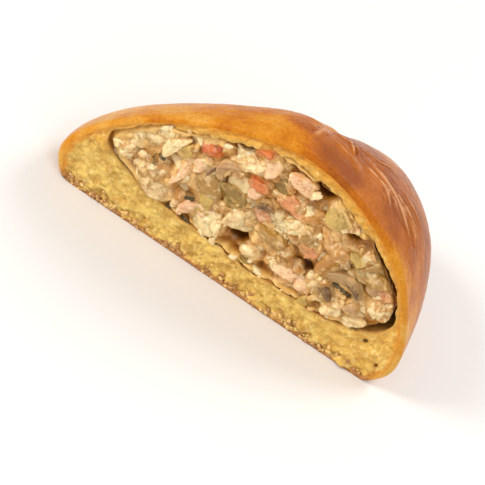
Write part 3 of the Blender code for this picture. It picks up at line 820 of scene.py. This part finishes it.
def make_dabs(draw, ball):
    unit, faces = ball
    parts = []
    for x, z in dab_places(draw):
        half = drawn(DAB_SIZE, DABS_SMALLER, draw)
        turn = draw.uniform(0, math.pi)
        local, _ = shaped_piece(unit, "dab", half * draw.uniform(*DAB_LENGTH), half, turn, draw)
        if in_front_face(x * DAB_MARGIN, z) and not in_some_hollow(x, z):
            points = keep_clear(local + np.array([x, draw.uniform(*DAB_DEPTH) * MM, z]), 0.0)
            parts.append((points, faces, 0.0, draw.random()))
    return joined("filling_dabs", parts, "dab")


def make_specks_and_shade_flecks(draw, ball):
    unit, faces = ball
    parts = []
    # The listed flecks paint shade in the hollows and under pieces; the loose ones are dark specks
    for x, z, a, b, turn in SHADE_FLECKS:
        local, _ = shaped_piece(unit, "red", a * MM, b * MM, math.radians(turn), draw)
        points = local * SHADE_FLECK_FLATNESS + np.array([x * MM, SHADE_FLECK_DEPTH, z * MM])
        parts.append((keep_clear(points, 0.0), faces, 0.0, draw.random()))
    for _ in range(LOOSE_FLECKS):
        turn = draw.uniform(0, math.pi)
        x, z = draw.uniform(*LOOSE_ALONG) * MM, draw.uniform(*LOOSE_HEIGHT) * MM
        size = draw.uniform(*LOOSE_SIZE) * MM
        depth = draw.uniform(*LOOSE_DEPTH) * MM
        if in_front_face(x, z, LOOSE_WITHIN):
            local, _ = shaped_piece(unit, "red", size * LOOSE_LENGTH, size, turn, draw)
            parts.append((local + np.array([x, depth, z]), faces, 0.0, draw.random()))
    return joined("filling_specks_and_shade_flecks", parts, "speck_and_shade")


# The cream bed: how far behind the cut it lies, how it climbs round each piece and up to the dough
CORE_SET_BACK = 3.3 * MM
BED_REACH, BED_BELOW_FRONTS = 0.7 * MM, 1.2 * MM
BED_BORDER, BORDER_FROM_RIM, BORDER_WAVE = 2.9 * MM, (0.03, 0.20), (0.05, 3.5 * MM, 43, 2)
BED_ROUGH, BORDER_ROUGHER, GAP_WIDER = (0.55 * MM, 2.9 * MM, 41, 4), 0.25 / 0.55, 1.2
BED_BEHIND = 0.35  # share of the mesh's rows that lie behind its rim
BED_GAP, BED_RIM, BED_FOREMOST, RIM_SHARE = 0.3 * MM, 2.4 * MM, 0.2 * MM, 0.05


def make_core(places):
    """The cream between the pieces: it climbs their sides and sinks between them and in the hollows."""
    core, round_angle, down = uv_sphere("filling_cream_bed", CORE_SEGMENTS, CORE_RINGS)
    back_angle = np.where(down < math.pi * BED_BEHIND, down / BED_BEHIND / 2, math.pi / 2)
    outside = hollow_surface(round_angle, back_angle, BED_GAP + filling_gap(round_angle, back_angle))
    inward = np.clip((down / math.pi - BED_BEHIND) / (1 - BED_BEHIND), 0.0, 1.0)
    points = MIDDLE + (outside - MIDDLE) * (1.0 - inward)[:, None]
    x, z = points[:, 0], points[:, 2]
    height = np.zeros(len(points))
    for _, piece_x, piece_z, a, b, turn, front in places:
        away = across_ellipse(x, z, piece_x, piece_z, a + BED_REACH, b + BED_REACH, turn)
        height = np.maximum(height, (CORE_SET_BACK - front - BED_BELOW_FRONTS) * bell(away))
    open_share = np.max([share for share, _ in shrunk(round_angle, GAP_WIDER)], axis=0)
    border = 1.0 - smooth(*BORDER_FROM_RIM, inward + rough(points, *BORDER_WAVE))
    border *= 1.0 - open_share
    height = np.maximum(height, BED_BORDER * border)
    height += (1.0 + BORDER_ROUGHER * border) * rough(points, *BED_ROUGH)
    for away, depth in across_hollows(x, z):
        height -= depth * bell(away, power=1.5)
    level = np.maximum(CORE_SET_BACK - height, BED_FOREMOST)
    face = blend(BED_RIM, level, smooth(0.0, RIM_SHARE, inward))
    points[:, 1] = np.where(inward > 0, face, np.maximum(points[:, 1], BED_RIM))
    write_points(core.data, points)
    core.data.shade_smooth()
    store(core.data, "depth", points[:, 1] / MM)
    store(core.data, "border", border)
    core.data.materials.append(cream_bed_material())
    return core


# ---------------------------------------------------------------- materials

# What every surface has on its shader, unless it says otherwise
USUAL = {
    "Coat Roughness": 0.2,
    "Subsurface Radius": (1, 0.6, 0.3),
    "Subsurface Scale": 0.002,
    "Sheen Roughness": 0.25,
}


class Surface:
    """A Principled material. Its nodes take numbers, colours, outputs of others or names of stored values."""

    def __init__(self, name, roughness, looks=None):
        self.material = bpy.data.materials.new(name)
        self.material.use_nodes = True
        self.tree = self.material.node_tree
        self.shader = self.tree.nodes["Principled BSDF"]
        for key, value in {**USUAL, "Roughness": roughness, **(looks or {})}.items():
            self.shader.inputs[key].default_value = value
        self.place = self.tree.nodes.new("ShaderNodeTexCoord").outputs["Object"]

    def put(self, socket, value):
        if isinstance(value, str):
            value = self.node("Attribute", "Fac", {}, attribute_name=value)
        if isinstance(value, bpy.types.NodeSocket):
            self.tree.links.new(value, socket)
        else:
            socket.default_value = (*value, 1.0) if socket.type == "RGBA" else value

    def feed(self, value, *names):
        for name in names:
            self.put(self.shader.inputs[name], value)

    def node(self, kind, output, inputs, **settings):
        made = self.tree.nodes.new("ShaderNode" + kind)
        for key, value in settings.items():
            setattr(made, key, value)
        for key, value in inputs.items():
            self.put(made.inputs[key], value)
        return made.outputs[output]

    def noise(self, size, detail=3.0, rough=0.55, distortion=0.0, stretch=None):
        place = self.place
        if stretch:
            place = self.node("Mapping", "Vector", {"Vector": place, "Scale": stretch})
        inputs = {"Vector": place, "Scale": 1.0 / size, "Detail": detail, "Roughness": rough}
        return self.node("TexNoise", "Fac", {**inputs, "Distortion": distortion})

    def cells(self, size):
        return self.node("TexVoronoi", "Distance", {"Vector": self.place, "Scale": 1.0 / size})

    def span(self, value, low, high, to_low=0.0, to_high=1.0):
        inputs = {"Value": value, "From Min": low, "From Max": high, "To Min": to_low, "To Max": to_high}
        return self.node("MapRange", "Result", inputs, interpolation_type="SMOOTHSTEP")

    def sum(self, first, second, operation="ADD"):
        return self.node("Math", 0, {0: first, 1: second}, operation=operation)

    def mix(self, amount, first, second):
        return self.node("Mix", 2, {0: amount, 6: first, 7: second}, data_type="RGBA")

    def tint(self, base, colour, value, low, high, at_low, at_high):
        """Mixes in at_low of the colour where the value is low, and at_high of it where it is high."""
        return self.mix(self.span(value, low, high, at_low, at_high), base, colour)

    def ramp(self, value, stops):
        made = self.tree.nodes.new("ShaderNodeValToRGB")
        elements = made.color_ramp.elements
        while len(elements) < len(stops):
            elements.new(0.5)
        for element, (position, colour) in zip(elements, stops):
            element.position = position
            element.color = (*colour, 1.0)
        self.put(made.inputs["Fac"], value)
        return made.outputs["Color"]

    def bumps(self, *layers):
        """Relief from layers of (height, distance, strength), each over the one before."""
        under = None
        for height, distance, strength in layers:
            inputs = {"Height": height, "Distance": distance, "Strength": strength}
            if under:
                inputs["Normal"] = under
            under = self.node("Bump", "Normal", inputs)
        return under


# Colours, as linear light
CRUST_PALE = (0.72, 0.38, 0.070)
CRUST_GOLD = (0.66, 0.25, 0.012)
CRUST_AMBER = (0.49, 0.130, 0.003)
CRUST_BROWN_AND_GROOVE_SHADE = (0.31, 0.070, 0.003)
# Painted highlight for the wrinkles' ridges
CRUST_RIDGE_HIGHLIGHT = (0.80, 0.41, 0.18)
CRUST_SPECK = (0.26, 0.055, 0.006)
CRUST_BASE = (0.46, 0.19, 0.05)
CRUMB_LIGHT = (0.87, 0.60, 0.15)
CRUMB_PALE = (0.97, 0.76, 0.30)
CRUMB_DEEP = (0.60, 0.33, 0.060)
CRUMB_GOLD = (0.76, 0.37, 0.040)
# Darker crumb, used for random mottling and as painted shade inside the bubbles
CRUMB_DARK_AND_PORE_SHADE = (0.52, 0.26, 0.05)
CRUMB_MOIST = (0.62, 0.34, 0.08)
CRUMB_INSIDE = (0.46, 0.22, 0.045)
BASE_CRUST_AND_SHADE = (0.47, 0.20, 0.072)


GLAZED = {
    "Coat Weight": 0.15,
    "Coat Roughness": 0.32,
    "Subsurface Weight": 0.05,
    "Specular IOR Level": 0.08,
    "Sheen Weight": 0.31,
}


def crust_material():
    """Egg-glazed crust: gold where it baked least, then amber and brown, with fine dark specks, painted shade
    in the wrinkles' grooves and a painted highlight on their ridges.
    """
    crust = Surface("glazed_crust", 0.5, GLAZED)
    patches = crust.span(crust.noise(7.5 * MM, 4.0), 0.3, 0.7, -0.15, 0.15)
    grain = crust.span(crust.noise(0.9 * MM, 3.0, 0.6), 0.35, 0.75, -0.08, 0.09)
    browned = crust.sum(crust.sum("bake", patches), grain)
    shades = ((0.02, CRUST_PALE), (0.30, CRUST_GOLD), (0.60, CRUST_AMBER), (0.95, CRUST_BROWN_AND_GROOVE_SHADE))
    base = crust.ramp(browned, shades)
    base = crust.tint(base, CRUST_SPECK, crust.cells(0.75 * MM), 0.12, 0.32, 0.40, 0.0)
    # Painted shade in the wrinkles' grooves, then a painted highlight on their ridges
    base = crust.tint(base, CRUST_BROWN_AND_GROOVE_SHADE, "crease", 0.06, 0.45, 0.0, 0.85)
    base = crust.tint(base, CRUST_RIDGE_HIGHLIGHT, "crease", -0.95, -0.10, 0.78, 0.0)
    crust.feed(crust.tint(base, CRUST_BASE, "low", 0.5, 1.0, 0.0, 0.6), "Base Color")
    crust.feed(crust.span(crust.noise(1.6 * MM), 0.3, 0.7, 0.38, 0.55), "Roughness")
    fine = crust.noise(0.55 * MM, 3.0, 0.6), 0.10 * MM, 1.0
    broad = crust.noise(2.2 * MM, 3.0, 0.5, 0.6), 0.25 * MM, 1.0
    crust.feed(crust.bumps(fine, broad), "Normal", "Coat Normal")
    return crust.material


def crumb_material():
    """Soft yellow crumb, golden where thin, brown at the rim, moist by the filling; painted shade in its
    bubbles and on its browned foot.
    """
    looks = {"Subsurface Weight": 0.12, "Subsurface Radius": (1.0, 0.55, 0.2), "Subsurface Scale": 0.0025}
    crumb = Surface("open_crumb", 0.85, looks)
    fine = crumb.noise(1.1 * MM, 4.0, 0.65)
    edge = crumb.sum("rind", crumb.span(crumb.noise(2.0 * MM), 0.3, 0.7, -0.5, 0.5))
    base = crumb.mix(crumb.span(crumb.noise(2.6 * MM, 4.0, 0.65), 0.32, 0.68), CRUMB_LIGHT, CRUMB_DEEP)
    base = crumb.tint(base, CRUMB_GOLD, "thin", 0.2, 1.0, 0.0, 0.7)
    base = crumb.tint(base, CRUMB_PALE, fine, 0.50, 0.30, 0.0, 0.7)
    base = crumb.tint(base, CRUMB_DARK_AND_PORE_SHADE, fine, 0.52, 0.8, 0.0, 0.42)
    # Painted shade: the bubbles darken with their depth, the deepest to near black
    base = crumb.tint(base, CRUMB_DARK_AND_PORE_SHADE, "pore", 0.05, 0.8, 0.0, 0.45)
    base = crumb.tint(base, PAINTED_CREVICE_SHADE, "pore", 1.2, 2.2, 0.0, 0.85)
    base = crumb.tint(base, CRUST_GOLD, edge, 0.2, 2.0, 0.85, 0.0)
    base = crumb.tint(base, CRUMB_MOIST, "moist", 0.4, 1.0, 0.0, 0.5)
    base = crumb.mix("inside", base, CRUMB_INSIDE)
    # Along the cut's foot: browned base crust, darkened further as painted shade
    foot_crust_and_shade = crumb.sum(crumb.span(edge, 0.3, 1.8, 0.8, 0.0), "low", "MULTIPLY")
    crumb.feed(crumb.mix(foot_crust_and_shade, base, BASE_CRUST_AND_SHADE), "Base Color")
    crumb.feed(crumb.span("inside", 0.0, 1.0, 0.85, 0.45), "Roughness")
    crumb.feed(crumb.bumps((crumb.cells(0.9 * MM), 0.20 * MM, 0.8), (fine, 0.35 * MM, 1.0)), "Normal")
    return crumb.material


# Cream, whose light colour also paints the pieces' rim highlights and the bed's lit patches
CREAM_AND_HIGHLIGHT = (0.92, 0.59, 0.225)
CREAM_SHADED = (0.50, 0.225, 0.036)
CREAM_DEPTH_SHADE = (0.42, 0.165, 0.014)
# Painted shade: near-black brown for the deepest bubbles, gaps and hollows
PAINTED_CREVICE_SHADE = (0.13, 0.037, 0.002)
OLIVE_SPOT = (0.38, 0.25, 0.04)
SOAKED = (0.80, 0.49, 0.13)
# Each kind's dark and light shade, then how clear it is, how far cream covers its edges and paints a highlight
# there, and how wet it is
KIND_LOOKS = {
    "pale": ((0.40, 0.205, 0.030), (0.92, 0.68, 0.34), 0.4, 0.7, 0.6),
    "cream": ((0.52, 0.225, 0.028), (0.98, 0.74, 0.38), 0.3, 0.4, 0.6),
    "dab": ((0.74, 0.43, 0.13), (1.00, 0.76, 0.42), 0.2, 0.0, 0.6),
    "pink": ((0.68, 0.26, 0.08), (0.96, 0.61, 0.34), 0.3, 0.55, 0.6),
    "red": ((0.46, 0.075, 0.010), (0.70, 0.20, 0.045), 0.2, 0.35, 0.3),
    "olive": ((0.27, 0.15, 0.018), (0.58, 0.38, 0.09), 0.3, 0.55, 0.3),
    "grey": ((0.15, 0.07, 0.018), (0.50, 0.28, 0.12), 0.1, 0.35, 0.2),
    "crumb": ((0.46, 0.21, 0.07), (0.86, 0.54, 0.18), 0.1, 0.0, 0.1),
    # Near black: dark specks of the filling, and painted shade in its hollows
    "speck_and_shade": ((0.07, 0.05, 0.012), (0.24, 0.16, 0.04), 0.0, 0.0, 0.1),
}
PINK_FIBRES = (1.0, 1.0, 3.2)


def piece_material(kind):
    """One kind of diced piece: its own two shades in broad and fine patches, with cream on its edges that also
    paints a highlight there, and painted shade where it lies deeper.
    """
    dark, light, clear, cream_and_highlight_share, wet = KIND_LOOKS[kind]
    looks = {"Coat Weight": wet, "Coat Roughness": 0.14, "Subsurface Weight": clear}
    piece = Surface("piece_" + kind, 0.36, looks)
    if kind == "pink":
        grain = piece.noise(1.1 * MM, 4.0, 0.6, 0.8, PINK_FIBRES)
    else:
        grain = piece.noise(2.2 * MM, 4.0, 0.6, 0.4)
    tone = piece.sum(piece.span(grain, 0.3, 0.7), piece.span("shade", 0.0, 1.0, -0.55, 0.62))
    # Cream coats the pieces' sides; its light colour there also paints a highlight on their rims
    film_and_highlight = piece.sum("edge", piece.span(piece.noise(1.5 * MM), 0.35, 0.7, -0.3, 0.5))
    base = piece.mix(piece.span(tone, 0.0, 1.0), dark, light)
    base = piece.tint(base, CREAM_AND_HIGHLIGHT, film_and_highlight, 0.20, 0.85, 0.0, cream_and_highlight_share)
    # Painted shade: the deeper behind the cut, the darker
    piece.feed(piece.tint(base, PAINTED_CREVICE_SHADE, "depth", 0.9, 3.6, 0.0, 0.9), "Base Color")
    piece.feed(piece.span(piece.noise(1.2 * MM), 0.3, 0.7, 0.28, 0.5), "Roughness")
    bumps = piece.bumps((piece.noise(0.5 * MM), 0.10 * MM, 1.0), (piece.noise(1.6 * MM), 0.30 * MM, 1.0))
    piece.feed(bumps, "Normal", "Coat Normal")
    return piece.material


def cream_bed_material():
    """Moist cream in patches of light and of painted-shaded cream, soaked at its border, with painted shade,
    browner and then near black, where it sinks.
    """
    bed = Surface("cream_bed", 0.34, {"Coat Weight": 0.3, "Coat Roughness": 0.14, "Subsurface Weight": 0.15})
    # Painted light and shade: broad patches of lit cream and of its shaded copy
    base = bed.mix(bed.span(bed.noise(3.0 * MM, 4.0, 0.6), 0.3, 0.7), CREAM_AND_HIGHLIGHT, CREAM_SHADED)
    base = bed.tint(base, OLIVE_SPOT, bed.noise(1.1 * MM), 0.6, 0.78, 0.0, 0.5)
    base = bed.tint(base, SOAKED, "border", 0.1, 0.9, 0.0, 0.8)
    # Painted shade: the further the cream sinks behind the cut, the browner and then the darker
    base = bed.tint(base, CREAM_DEPTH_SHADE, "depth", 0.9, 2.7, 0.0, 1.0)
    bed.feed(bed.tint(base, PAINTED_CREVICE_SHADE, "depth", 2.4, 4.0, 0.0, 1.0), "Base Color")
    bumps = bed.bumps((bed.noise(0.6 * MM), 0.14 * MM, 1.0), (bed.noise(2.0 * MM), 0.35 * MM, 1.0))
    bed.feed(bumps, "Normal", "Coat Normal")
    return bed.material


# ---------------------------------------------------------------- stage

VIEW_AZIMUTH, VIEW_ELEVATION, VIEW_ROLL = math.radians(-2.97), math.radians(39.3), math.radians(35.94)
VIEW_DISTANCE = 0.672
FRAME_WIDTH = 0.116  # what the frame spans at the object, in metres
AIM = Vector((1.20, -11.98, 4.17)) * MM
SENSOR = 36.0
FLOOR_SIZE, FLOOR_COLOUR = 6.0, (0.86, 0.84, 0.82)
# Each light: its direction by the picture's axes, then its distance, size, power and colour
LIGHTS = {
    "key": ((-0.45, 0.60, 0.66), 0.9, 0.35, 4.2, (1.0, 0.98, 0.95)),
    "front": ((0.30, -0.10, 0.95), 1.1, 0.8, 3.9, (1.0, 0.98, 0.95)),
    "rim": ((0.95, 0.55, 0.05), 0.9, 0.5, 3.5, (1.0, 0.97, 0.95)),
}
SKY_COLOUR, SKY_STRENGTH = (1.0, 0.985, 0.97, 1.0), 0.5


def view_axes():
    """The picture's right, its up, and the way from the object to the camera."""
    c, s = math.cos(VIEW_AZIMUTH), math.sin(VIEW_AZIMUTH)
    flat = math.cos(VIEW_ELEVATION)
    right = Vector((c, s, 0.0))
    towards = Vector((s * flat, -c * flat, math.sin(VIEW_ELEVATION)))
    up = towards.cross(right)
    rolled_right = right * math.cos(VIEW_ROLL) + up * math.sin(VIEW_ROLL)
    rolled_up = up * math.cos(VIEW_ROLL) - right * math.sin(VIEW_ROLL)
    return rolled_right, rolled_up, towards


def make_camera():
    _, up, towards = view_axes()
    data = bpy.data.cameras.new("camera")
    data.sensor_width = SENSOR
    data.lens = SENSOR * VIEW_DISTANCE / FRAME_WIDTH
    camera = linked("camera", data)
    camera.location = Vector(BUN_AXIS) + towards * VIEW_DISTANCE
    back = (camera.location - AIM).normalized()
    side = up.cross(back).normalized()
    camera.rotation_mode = "QUATERNION"
    camera.rotation_quaternion = Matrix((side, back.cross(side), back)).transposed().to_quaternion()
    bpy.context.scene.camera = camera


def soft_light(name, direction, distance, size, power, colour):
    data = bpy.data.lights.new(name, "AREA")
    data.shape = "DISK"
    data.size = size
    data.energy = power
    data.color = colour
    light = linked(name, data)
    light.location = direction.normalized() * distance
    light.rotation_mode = "QUATERNION"
    light.rotation_quaternion = direction.to_track_quat("Z", "Y")


def make_stage():
    bpy.ops.mesh.primitive_plane_add(size=FLOOR_SIZE)
    floor = bpy.context.object
    floor.name = "floor"
    pale = Surface("pale_floor", 0.6)
    pale.feed(FLOOR_COLOUR, "Base Color")
    floor.data.materials.append(pale.material)
    right, up, towards = view_axes()
    for name, (place, *rest) in LIGHTS.items():
        soft_light(name, place[0] * right + place[1] * up + place[2] * towards, *rest)
    world = bpy.data.worlds.new("studio")
    world.use_nodes = True
    background = world.node_tree.nodes["Background"]
    background.inputs["Color"].default_value = SKY_COLOUR
    background.inputs["Strength"].default_value = SKY_STRENGTH
    bpy.context.scene.world = world
    bpy.context.scene.view_settings.view_transform = "Standard"


make_camera()
make_stage()
dough = make_dough()
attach(dough, "root")
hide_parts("dough")
edge_crumbs = make_edge_crumbs()
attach(edge_crumbs, "root")
for piece in make_filling():
    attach(piece, "root")
    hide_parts("filling")
